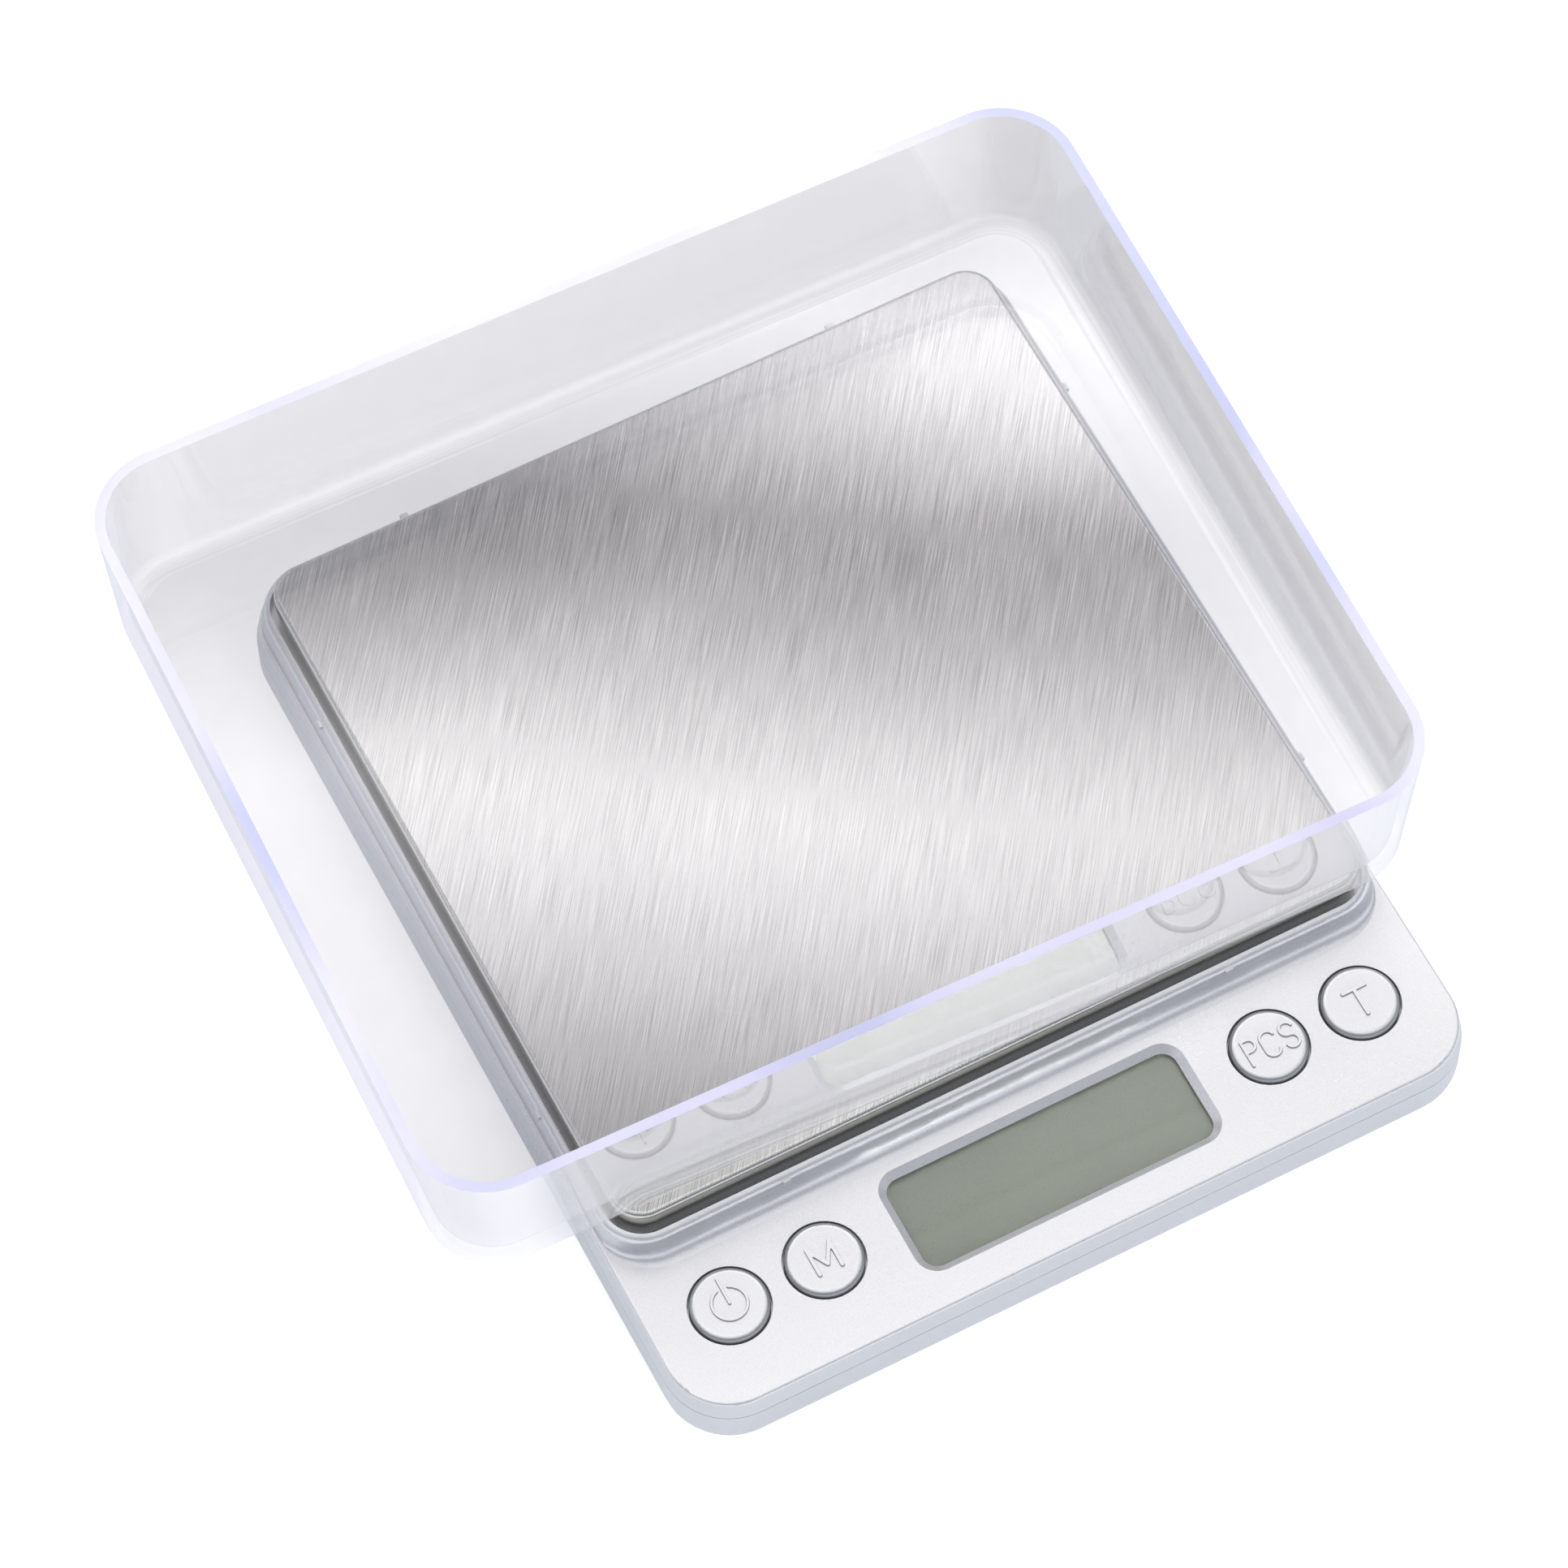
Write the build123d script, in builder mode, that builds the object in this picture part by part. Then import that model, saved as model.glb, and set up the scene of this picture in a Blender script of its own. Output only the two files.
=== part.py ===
from build123d import *
from math import atan2, cos, degrees, hypot, radians, sin, tan
import os

# Kitchen scale: silver plastic body with a control panel in front, a steel weighing
# platform inside a raised frame, and a clear tray standing on the platform.
# Millimetres, +Z up, floor at z = 0, front of the scale towards -Y.

# ---------------------------------------------------------------- overall sizes
body_x = 5.61           # body centre from the origin (the middle of scale plus tray)
body_y = -3.10
body_w = 106.0          # across the panel's upper edge
body_l = 126.0
corner_r = 8.0
deck_z = 11.7           # control panel
split_z = 8.8           # parting line of the two shells
case_z = 1.0            # underside of the lower shell
top_z = 19.0            # top of the weighing platform
bulge = 0.5             # the side swells this much at the parting line
inner_w = 103.6         # inside of the lower shell
inner_l = 123.6
inner_r = 6.8
lip_inner_w = 100.4     # inside of the register lip
lip_inner_l = 120.4
lip_inner_r = 5.2
lip_low = 6.0
seam = 0.12             # open line between the shells
floor_t = 1.8
front_y = -body_l / 2
back_y = body_l / 2

# raised frame round the platform
frame_rise = 3.9
frame_foot_y = front_y + 19.95      # where the front ramp leaves the panel
frame_foot_r = 2.0                  # hollow at the ramp's foot
frame_foot_start = 6.0              # degrees of slope where it leaves the panel
frame_root = 0.05                   # the ramp goes on this deep into the panel
frame_crest_r = 1.1                 # round at its crest
frame_slope = 80.0                  # degrees from level
frame_side_root = 52.5
frame_side_low = 52.35
frame_side_top = 52.15
frame_crest_side = 51.35
frame_corner_root = 7.2
frame_corner_low = 6.4
frame_corner_top = 6.2
frame_corner_crest = 5.4
frame_corner_back = 7.0
frame_back = back_y - 0.6
catch_y = front_y + 22.25           # small catches on the frame's outer faces
catch_x = 30.0
catch_rise = 3.1

# weighing platform
plate_w = 100.8
plate_l = 99.5
plate_r = 4.2
plate_skirt = 2.2
plate_t = 0.8
plate_y = front_y + 23.67 + plate_l / 2
gap = 0.7                           # between the plate and the frame
hollow_side = 51.2                  # inside of the upper shell
hollow_wall = 1.8
well_floor_top = 13.9
well_floor_low = 12.6

# display
lcd_w = 41.2
lcd_l = 14.5
lcd_r = 3.0
lcd_y = front_y + 11.56
bevel = 1.0
window_drop = 0.8
deck_t = 1.6

# buttons
button_y = front_y + 12.1
button_xs = {"power": -42.75, "mode": -30.15, "pieces": 30.15, "tare": 42.75}
button_hole_r = 5.1
button_r = 4.85
button_top_z = deck_z + 0.6
button_rim = 0.75
button_flange_low = 9.2
button_flange_top = 9.9
plunger_low = 7.0
plunger_top = 8.6
legend_h = 0.26
legend_slope = 18.0     # the raised marks narrow upwards
legend_root = 0.02
thin_stroke = 0.46
thick_stroke = 0.62

# circuit board
board_low = 4.4
board_top = 6.0
board_front = front_y + 8.1
board_back = front_y + 39.0
board_half = 47.0

# load cell
bar_len = 60.0
bar_w = 12.0
bar_h = 6.0
bar_z = 5.0
spacer_t = 0.6
bar_end_x = 23.0        # middle of each clamped end
bar_hole_pitch = 7.0
bar_screw_clear = 1.6
bar_screw_bore = 3.0
flexure_r = 2.4
flexure_x = 5.0
bar_hole_xs = (bar_end_x - bar_hole_pitch / 2, bar_end_x + bar_hole_pitch / 2)

# batteries
cell_r = 5.25
cell_can = 43.7
cell_nub = 0.8
cell_axis_z = 7.45
cell_ys = (41.6, 52.4)
contact_t = 0.3
contact_h = 9.0
bay_half = 25.0
bay_y0 = 36.0
bay_y1 = 58.0
bay_wall = 1.5
bay_top = 12.5          # upper edge of the bay's walls
bay_ceiling = 12.95
door_front = 34.15
door_back = 59.9
door_half = 25.95
door_flange = 1.0       # the upper leaf is this much wider on each side
door_play = 0.15

# tray
tray_dx = -5.61
tray_dy = 13.96
tray_turn = -1.55
tray_w = 131.0
tray_l = 108.5
tray_h = 23.2
tray_r = 10.0
tray_draft = 1.2
tray_t = 1.3
tray_floor_t = 1.4
tray_clear = 0.04       # under the tray, so that the faces do not coincide

# screws and feet
screw_spots = [(-24.6, -57.5), (24.6, -57.5), (-44.0, 54.0), (44.0, 54.0)]
board_screw_spots = [(-36.45, -52.0), (36.45, -52.0), (-44.0, -28.0), (44.0, -28.0)]
boss_r = 2.3
boss_low = 6.05
pilot_r = 1.05
foot_spots = [(-43.0, -50.0), (43.0, -50.0), (-43.0, 46.0), (43.0, 46.0)]

floor_plane = Plane(origin=(body_x, body_y, 0))
tray_turn_r = radians(tray_turn)
tray_plane = Plane(
    origin=(body_x + tray_dx, body_y + tray_dy, tray_clear),
    x_dir=(cos(tray_turn_r), sin(tray_turn_r), 0),
    z_dir=(0, 0, 1),
)
upside_down = (180, 0, 0)


def at(z):
    """Level plane of the scale's body at height z."""
    return floor_plane.offset(z)


def save(builder, name):
    builder.part.label = name
    export_step(builder.part, "parts/" + name + ".step")


def rounded(width, length, radius, y=0.0, mode=Mode.ADD):
    with Locations((0, y)):
        RectangleRounded(width, length, radius, mode=mode)


def two_radius_outline(side, front, back, r_front, r_back):
    """Outline with one corner radius in front and another behind."""
    with Locations((0, (front + back) / 2)):
        Rectangle(2 * side, back - front)
    fillet(vertices().group_by(Axis.Y)[0], r_front)
    fillet(vertices().group_by(Axis.Y)[-1], r_back)


os.makedirs("parts", exist_ok=True)

# ---------------------------------------------------------------- top cover
flank_tilt = degrees(atan2(bulge, deck_z - split_z))
steps = 4


def frame_sections():
    """Height, front line, side line and front corner radius of the frame's outside,
    from the hollow foot through the steep face to the round crest."""
    a_min = radians(frame_foot_start)
    a_max = radians(frame_slope)
    root_y = frame_foot_y - frame_root / tan(a_min)
    foot = []
    for i in range(steps + 1):
        a = a_min + (a_max - a_min) * i / steps
        h = frame_foot_r * (cos(a_min) - cos(a))
        y = frame_foot_y + frame_foot_r * (sin(a) - sin(a_min))
        foot.append((h, y))
    face_h = frame_rise - foot[-1][0] - frame_crest_r * (1 - cos(a_max))
    face_y = foot[-1][1] + face_h / tan(a_max)
    crest = []
    for i in range(steps + 1):
        a = a_max * (1 - i / steps)
        h = frame_rise - frame_crest_r * (1 - cos(a))
        y = face_y + frame_crest_r * (sin(a_max) - sin(a))
        crest.append((h, y, sin(a) / sin(a_max)))
    out = [(-frame_root, root_y, frame_side_root, frame_corner_root)]
    for i, (h, y) in enumerate(foot):
        side = frame_side_root + (frame_side_low - frame_side_root) * i / steps
        corner = frame_corner_root + (frame_corner_low - frame_corner_root) * i / steps
        out.append((h, y, side, corner))
    for h, y, k in crest:
        side = frame_crest_side + (frame_side_top - frame_crest_side) * k
        corner = frame_corner_crest + (frame_corner_top - frame_corner_crest) * k
        out.append((h, y, side, corner))
    return out


with BuildPart(floor_plane) as top_cover:
    with BuildSketch(at(split_z)):
        rounded(body_w + 2 * bulge, body_l + 2 * bulge, corner_r + bulge)
    extrude(amount=deck_z - split_z, taper=flank_tilt)
    fillet(top_cover.faces().sort_by(Axis.Z)[-1].edges(), 0.45)
    # raised frame, lofted through its outlines
    for h, front, side, r_front in frame_sections():
        with BuildSketch(at(deck_z + h)):
            back = frame_back - (frame_side_low - side)
            two_radius_outline(side, front, back, r_front, frame_corner_back)
    loft()
    # well for the platform
    with BuildSketch(at(well_floor_top)):
        rounded(plate_w + 2 * gap, plate_l + 2 * gap - 0.1, plate_r + gap, plate_y)
    extrude(amount=5.0, mode=Mode.SUBTRACT)
    # hollow under the well and under the control panel
    with BuildSketch(at(split_z)):
        two_radius_outline(hollow_side, -39.0, back_y - hollow_wall, 0.5, 6.2)
    extrude(amount=well_floor_low - split_z, mode=Mode.SUBTRACT)
    with BuildSketch(at(split_z)):
        two_radius_outline(hollow_side, front_y + hollow_wall, -36.0, 6.2, 0.5)
    extrude(amount=deck_z - deck_t - split_z, mode=Mode.SUBTRACT)
    # room over the batteries
    with BuildSketch(at(split_z)):
        with Locations((0, (bay_y0 + bay_y1) / 2)):
            Rectangle(2 * bay_half + 6, bay_y1 - bay_y0 + 3.4)
    extrude(amount=bay_ceiling - split_z, mode=Mode.SUBTRACT)
    # way through the well for the platform's boss
    with BuildSketch(at(well_floor_low)):
        with Locations((bar_end_x, plate_y)):
            RectangleRounded(19.0, 17.0, 2.0)
    extrude(amount=2.0, mode=Mode.SUBTRACT)
    # stops under the carrier
    with BuildSketch(at(well_floor_top)):
        with Locations((0, plate_y)):
            with GridLocations(80.0, 78.0, 2, 2):
                Circle(2.5)
    extrude(amount=0.45)
    # display opening: bevel, window seat
    with BuildSketch(at(deck_z)):
        rounded(lcd_w, lcd_l, lcd_r, lcd_y)
    extrude(
        amount=-window_drop,
        taper=degrees(atan2(bevel, window_drop)),
        mode=Mode.SUBTRACT,
    )
    with BuildSketch(at(deck_z - deck_t)):
        rounded(lcd_w + 1.4, lcd_l + 1.4, lcd_r, lcd_y)
    extrude(amount=deck_t - window_drop, mode=Mode.SUBTRACT)
    # button holes
    with BuildSketch(at(deck_z - deck_t)):
        with Locations(*[(x, button_y) for x in button_xs.values()]):
            Circle(button_hole_r)
    extrude(amount=deck_t + 1, mode=Mode.SUBTRACT)
    # screw bosses
    with BuildSketch(at(boss_low)):
        with Locations(*screw_spots[:2]):
            Circle(boss_r)
    extrude(amount=deck_z - deck_t - boss_low)
    with BuildSketch(at(boss_low)):
        with Locations(*screw_spots[2:]):
            Circle(boss_r)
    extrude(amount=well_floor_low - boss_low)
    with BuildSketch(at(boss_low)):
        with Locations(*screw_spots):
            Circle(pilot_r)
    extrude(amount=3.6, mode=Mode.SUBTRACT)
    # little catches for the lid on the frame's outer face
    with Locations((0, catch_y, deck_z + catch_rise)):
        with GridLocations(2 * catch_x, 1, 2, 1):
            Box(1.0, 0.9, 0.7)
    with Locations((0, frame_back - 0.3, deck_z + catch_rise)):
        with GridLocations(2 * catch_x, 1, 2, 1):
            Box(1.0, 1.1, 0.7)
    with Locations((0, plate_y, deck_z + catch_rise)):
        with GridLocations(2 * (frame_side_top - 0.15), 2 * catch_x, 2, 2):
            Box(0.8, 1.0, 0.7)
save(top_cover, "top_cover")

# ---------------------------------------------------------------- bottom case
with BuildPart(floor_plane) as bottom_case:
    with BuildSketch(at(case_z)):
        rounded(body_w + 2 * bulge, body_l + 2 * bulge, corner_r + bulge)
    extrude(amount=split_z - seam - case_z)
    fillet(bottom_case.faces().sort_by(Axis.Z)[0].edges(), 3.5)
    with BuildSketch(at(case_z + floor_t)):
        rounded(inner_w, inner_l, inner_r)
    extrude(amount=10, mode=Mode.SUBTRACT)
    # keep the rounded lower edge one wall thick
    with BuildSketch(at(case_z + floor_t)):
        rounded(inner_w, inner_l, inner_r)
        rounded(inner_w - 5.6, inner_l - 5.6, inner_r - 2.8, mode=Mode.SUBTRACT)
    extrude(amount=1.0)
    # register lip inside the cover
    with BuildSketch(at(lip_low)):
        rounded(inner_w + 0.1, inner_l + 0.1, inner_r + 0.1)
        rounded(lip_inner_w, lip_inner_l, lip_inner_r, mode=Mode.SUBTRACT)
    extrude(amount=split_z - seam - lip_low)
    with BuildSketch(at(split_z - seam)):
        rounded(inner_w - 1.6, inner_l - 1.6, inner_r - 0.8)
        rounded(lip_inner_w, lip_inner_l, lip_inner_r, mode=Mode.SUBTRACT)
    extrude(amount=1.0)
    # the display's frame passes the lip
    with BuildSketch(at(lip_low)):
        with Locations((0, front_y + 2.2)):
            Rectangle(46.0, 2.2)
    extrude(amount=8.0, mode=Mode.SUBTRACT)
    # columns for the case screws and the board
    with BuildSketch(at(case_z + 1.0)):
        with Locations(*screw_spots):
            Circle(3.3)
    extrude(amount=2.2)
    with BuildSketch(at(case_z + 1.0)):
        with Locations(*screw_spots):
            Circle(boss_r)
    extrude(amount=4.0)
    with BuildSketch(at(case_z + 1.0)):
        with Locations(*board_screw_spots):
            Circle(2.2)
    extrude(amount=board_low - case_z - 1.0)
    # seat of the load cell's fixed end, and the stop screw's boss
    with BuildSketch(at(case_z + 1.0)):
        with Locations((-bar_end_x, plate_y)):
            Rectangle(15.0, 13.0)
    extrude(amount=bar_z - spacer_t - case_z - 1.0)
    with BuildSketch(at(case_z + 1.0)):
        with Locations((bar_end_x, plate_y)):
            Circle(3.4)
    extrude(amount=1.9)
    # battery bay
    with BuildSketch(at(case_z + 1.0)):
        with Locations((0, (bay_y0 + bay_y1) / 2)):
            Rectangle(2 * (bay_half + bay_wall), bay_y1 - bay_y0 + 2 * bay_wall)
    extrude(amount=bay_top - case_z - 1.0)
    with BuildSketch(at(case_z + 1.0)):
        with Locations((0, (bay_y0 + bay_y1) / 2)):
            Rectangle(2 * bay_half + 6.0, bay_y1 - bay_y0 + 2 * bay_wall)
    extrude(amount=2.0)
    with BuildSketch(at(0)):
        with Locations((0, (bay_y0 + bay_y1) / 2)):
            Rectangle(2 * bay_half, bay_y1 - bay_y0)
    extrude(amount=14.0, mode=Mode.SUBTRACT)
    # notches where the contacts' tabs leave the bay
    with Locations((-bay_half - 1.0, cell_ys[0], 11.4), (-bay_half - 1.0, cell_ys[1], 11.4)):
        Box(3.0, 3.6, 3.0, mode=Mode.SUBTRACT)
    # channel of the sliding door, open towards the back
    channel_front = door_front - door_play
    channel_back = back_y + 3.0
    with BuildSketch(at(case_z - 0.1)):
        with Locations((0, (channel_front + channel_back) / 2)):
            Rectangle(2 * (door_half + door_play), channel_back - channel_front)
    extrude(amount=1.2, mode=Mode.SUBTRACT)
    with BuildSketch(at(case_z + 0.5)):
        with Locations((0, (channel_front + channel_back) / 2)):
            Rectangle(2 * (door_half + door_flange + door_play), channel_back - channel_front)
    extrude(amount=0.62, mode=Mode.SUBTRACT)
    # screw holes: case, board, load cell, stop screw
    with Locations(*[Location((x, y, case_z), upside_down) for x, y in screw_spots]):
        CounterBoreHole(pilot_r, 2.15, 2.2)
    with BuildSketch(at(case_z + 1.5)):
        with Locations(*board_screw_spots):
            Circle(0.9)
    extrude(amount=4.0, mode=Mode.SUBTRACT)
    with Locations(*[Location((-x, plate_y, case_z), upside_down) for x in bar_hole_xs]):
        CounterBoreHole(bar_screw_clear, bar_screw_bore, 1.9)
    with Locations(Location((bar_end_x, plate_y, case_z), upside_down)):
        Hole(1.55)
    # recesses for the feet
    with BuildSketch(at(case_z)):
        with Locations(*foot_spots):
            Circle(4.1)
    extrude(amount=0.3, mode=Mode.SUBTRACT)
save(bottom_case, "bottom_case")

# ---------------------------------------------------------------- weighing platform
with BuildPart(floor_plane) as platform_plate:
    with BuildSketch(at(top_z - plate_skirt)):
        rounded(plate_w, plate_l, plate_r, plate_y)
    extrude(amount=plate_skirt)
    fillet(platform_plate.faces().sort_by(Axis.Z)[-1].edges(), 0.65)
    with BuildSketch(at(top_z - plate_skirt)):
        rounded(plate_w - 2 * plate_t, plate_l - 2 * plate_t, plate_r - plate_t, plate_y)
    extrude(amount=plate_skirt - plate_t, mode=Mode.SUBTRACT)
save(platform_plate, "platform_plate")

carrier_w = 98.4
carrier_l = 97.1
carrier_t = 1.2
carrier_low = 14.8
carrier_floor = 16.2
pad_t = 0.3
pad_w = 12.0
pad_pitch_x = 64.0
pad_pitch_y = 60.0
carrier_top = top_z - plate_t - pad_t
with BuildPart(floor_plane) as platform_carrier:
    with BuildSketch(at(carrier_low)):
        rounded(carrier_w, carrier_l, 2.8, plate_y)
    extrude(amount=carrier_top - carrier_low)
    with BuildSketch(at(carrier_floor)):
        rounded(carrier_w - 2 * carrier_t, carrier_l - 2 * carrier_t, 1.6, plate_y)
    extrude(amount=5.0, mode=Mode.SUBTRACT)
    # ribs and pad seats
    with BuildSketch(at(carrier_floor)):
        with Locations((0, plate_y - 30), (0, plate_y - 11), (0, plate_y + 11), (0, plate_y + 30)):
            Rectangle(carrier_w - 2.0, carrier_t)
        with Locations((-32, plate_y), (-11, plate_y), (11, plate_y), (32, plate_y)):
            Rectangle(carrier_t, carrier_l - 2.0)
        with Locations((0, plate_y)):
            with GridLocations(pad_pitch_x, pad_pitch_y, 2, 2):
                Rectangle(pad_w + 2.0, pad_w + 2.0)
    extrude(amount=carrier_top - carrier_floor)
    # boss down to the load cell's free end
    with BuildSketch(at(bar_z + bar_h + spacer_t)):
        with Locations((bar_end_x, plate_y)):
            RectangleRounded(15.0, 13.0, 1.0)
    extrude(amount=carrier_floor - bar_z - bar_h - spacer_t)
    with Locations(*[(x, plate_y, carrier_floor) for x in bar_hole_xs]):
        CounterBoreHole(bar_screw_clear, bar_screw_bore, 1.8)
save(platform_carrier, "platform_carrier")

with BuildPart(floor_plane) as plate_pads:
    with BuildSketch(at(carrier_top)):
        with Locations((0, plate_y)):
            with GridLocations(pad_pitch_x, pad_pitch_y, 2, 2):
                RectangleRounded(pad_w, pad_w, 1.0)
    extrude(amount=pad_t)
save(plate_pads, "plate_pads")

# ---------------------------------------------------------------- load cell
with BuildPart(floor_plane) as load_cell:
    with BuildSketch(at(bar_z)):
        with Locations((0, plate_y)):
            Rectangle(bar_len, bar_w)
    extrude(amount=bar_h)
    # the paired holes that let the bar bend
    across = Plane(origin=(body_x, body_y + plate_y - bar_w, 0), x_dir=(1, 0, 0), z_dir=(0, 1, 0))
    with BuildSketch(across):
        with Locations((0, -(bar_z + bar_h / 2))):
            with GridLocations(2 * flexure_x, 1, 2, 1):
                Circle(flexure_r)
            Rectangle(2 * flexure_x, 1.6)
    extrude(amount=2 * bar_w, mode=Mode.SUBTRACT)
    with BuildSketch(at(bar_z)):
        with Locations(*[(s * x, plate_y) for x in bar_hole_xs for s in (-1, 1)]):
            Circle(bar_screw_clear)
    extrude(amount=bar_h, mode=Mode.SUBTRACT)
save(load_cell, "load_cell")

with BuildPart(floor_plane) as gauge_covers:
    for z in (bar_z - 0.8, bar_z + bar_h):
        with BuildSketch(at(z)):
            with Locations((0, plate_y)):
                RectangleRounded(22.0, 10.6, 1.5)
        extrude(amount=0.8)
save(gauge_covers, "gauge_covers")


def spacer(x, z):
    """Thin plate between the bar's end and its seat, with the two screw holes."""
    with BuildSketch(at(z)) as outline:
        with Locations((x, plate_y)):
            Rectangle(14.0, 12.0)
        with Locations((x - bar_hole_pitch / 2, plate_y), (x + bar_hole_pitch / 2, plate_y)):
            Circle(bar_screw_clear, mode=Mode.SUBTRACT)
    extrude(outline.sketch, amount=spacer_t)


with BuildPart() as base_spacer:
    spacer(-bar_end_x, bar_z - spacer_t)
save(base_spacer, "base_spacer")

with BuildPart() as carrier_spacer:
    spacer(bar_end_x, bar_z + bar_h)
save(carrier_spacer, "carrier_spacer")


def screw(x, y, head_z, head_r, head_h, shank_r, shank_len, up, slot_w=0.7):
    """Pan-head screw with a cross recess. head_z is the head's outer face; up is True
    for a head on top and the shank below."""
    turn = (0, 0, 0) if up else upside_down
    with Locations(Location((x, y, head_z), turn)):
        Cylinder(head_r, head_h, align=(Align.CENTER, Align.CENTER, Align.MAX))
        Cylinder(shank_r, head_h + shank_len, align=(Align.CENTER, Align.CENTER, Align.MAX))
        for w, l in ((slot_w, 1.3 * head_r), (1.3 * head_r, slot_w)):
            Box(w, l, 0.45 * head_h, align=(Align.CENTER, Align.CENTER, Align.MAX), mode=Mode.SUBTRACT)


with BuildPart(floor_plane) as load_cell_base_screws:
    for x in bar_hole_xs:
        screw(-x, plate_y, case_z + 0.3, 2.8, 1.6, 1.5, 6.8, False)
save(load_cell_base_screws, "load_cell_base_screws")

with BuildPart(floor_plane) as load_cell_carrier_screws:
    for x in bar_hole_xs:
        screw(x, plate_y, carrier_floor - 0.2, 2.8, 1.6, 1.5, 6.8, True)
save(load_cell_carrier_screws, "load_cell_carrier_screws")

with BuildPart(floor_plane) as overload_screw:
    with Locations((bar_end_x, plate_y, case_z + 0.2)):
        Cylinder(1.5, 3.25, align=(Align.CENTER, Align.CENTER, Align.MIN))
        Box(0.6, 2.4, 0.7, align=(Align.CENTER, Align.CENTER, Align.MIN), mode=Mode.SUBTRACT)
save(overload_screw, "overload_screw")

# ---------------------------------------------------------------- display
with BuildPart(floor_plane) as lcd_window:
    with BuildSketch(at(deck_z - deck_t)):
        rounded(lcd_w + 1.2, lcd_l + 1.2, lcd_r - 0.1, lcd_y)
    extrude(amount=deck_t - window_drop)
save(lcd_window, "lcd_window")

with BuildPart(floor_plane) as lcd_panel:
    with BuildSketch(at(8.0)):
        with Locations((0, lcd_y)):
            Rectangle(41.6, 16.6)
    extrude(amount=1.0)
    with BuildSketch(at(9.0)):
        with Locations((0, lcd_y - 0.8)):
            Rectangle(41.6, 15.0)
    extrude(amount=0.9)
save(lcd_panel, "lcd_panel")

with BuildPart(floor_plane) as lcd_frame:
    with BuildSketch(at(7.4)):
        with Locations((0, lcd_y)):
            Rectangle(43.8, 18.6)
            Rectangle(41.8, 16.8, mode=Mode.SUBTRACT)
    extrude(amount=2.6)
    with BuildSketch(at(7.4)):
        with Locations((0, lcd_y)):
            Rectangle(42.6, 17.6)
            Rectangle(39.6, 14.6, mode=Mode.SUBTRACT)
        with Locations((0, lcd_y + 7.6)):
            Rectangle(38.4, 2.6, mode=Mode.SUBTRACT)
    extrude(amount=0.6)
    with BuildSketch(at(board_top)):
        with Locations((0, lcd_y + 2.5)):
            with GridLocations(42.4, 9.0, 2, 2):
                Rectangle(1.4, 2.0)
    extrude(amount=1.5)
save(lcd_frame, "lcd_frame")

with BuildPart(floor_plane) as lcd_connector:
    with BuildSketch(at(board_top)):
        with Locations((0, lcd_y + 7.2)):
            Rectangle(36.0, 1.4)
    extrude(amount=2.0)
save(lcd_connector, "lcd_connector")


# ---------------------------------------------------------------- buttons
def stroke(x0, y0, x1, y1, w):
    turn = degrees(atan2(y1 - y0, x1 - x0))
    with Locations((x0, y0), (x1, y1)):
        Circle(w / 2)
    with Locations(Location(((x0 + x1) / 2, (y0 + y1) / 2, 0), (0, 0, turn))):
        Rectangle(hypot(x1 - x0, y1 - y0), w)


def bow(cx, cy, r, start, sweep_deg, w):
    """Round stroke along part of a circle, with round ends."""
    with BuildLine(mode=Mode.PRIVATE) as path:
        CenterArc((cx, cy), r, start, sweep_deg)
    SlotArc(path.edges()[0], w)


def legend_power():
    bow(0, 0, 2.15, 68, -318, thin_stroke)
    stroke(0, 0, 0, 3.4, thin_stroke)


def legend_mode():
    stroke(-1.5, -1.75, -1.5, 1.75, thick_stroke)
    stroke(-1.5, 1.75, 0, -0.9, thick_stroke)
    stroke(0, -0.9, 1.5, 1.75, thick_stroke)
    stroke(1.5, 1.75, 1.5, -1.75, thick_stroke)


def legend_pieces():
    stroke(-3.05, -1.7, -3.05, 1.7, thin_stroke)
    stroke(-3.05, 1.7, -2.35, 1.7, thin_stroke)
    stroke(-3.05, 0.1, -2.35, 0.1, thin_stroke)
    bow(-2.35, 0.9, 0.8, 90, -180, thin_stroke)
    bow(0.15, 0.75, 0.95, 20, 160, thin_stroke)
    stroke(-0.8, 0.75, -0.8, -0.75, thin_stroke)
    bow(0.15, -0.75, 0.95, 180, 160, thin_stroke)
    bow(2.75, 0.85, 0.85, 20, 250, thin_stroke)
    bow(2.75, -0.85, 0.85, 90, -250, thin_stroke)


def legend_tare():
    stroke(-1.5, 1.7, 1.5, 1.7, thick_stroke)
    stroke(0, 1.7, 0, -1.9, thick_stroke)


def upright(x, y, radius, low, high):
    """Round post from height low to height high."""
    with Locations((x, y, low)):
        Cylinder(radius, high - low, align=(Align.CENTER, Align.CENTER, Align.MIN))


legends = {
    "power": legend_power,
    "mode": legend_mode,
    "pieces": legend_pieces,
    "tare": legend_tare,
}
for name, x in button_xs.items():
    with BuildPart(floor_plane) as button:
        upright(x, button_y, button_r, button_flange_top, button_top_z)
        fillet(button.faces().sort_by(Axis.Z)[-1].edges(), button_rim)
        upright(x, button_y, 5.8, button_flange_low, button_flange_top)
        upright(x, button_y, 2.0, plunger_top, button_flange_low)
        low = button_top_z - legend_root
        with BuildSketch(Plane(origin=(body_x + x, body_y + button_y, low))):
            legends[name]()
        extrude(amount=legend_h + legend_root, taper=legend_slope)
    save(button, "button_" + name)
    with BuildPart(floor_plane) as plunger:
        upright(x, button_y, 1.5, plunger_low, plunger_top)
    save(plunger, "plunger_" + name)

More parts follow.
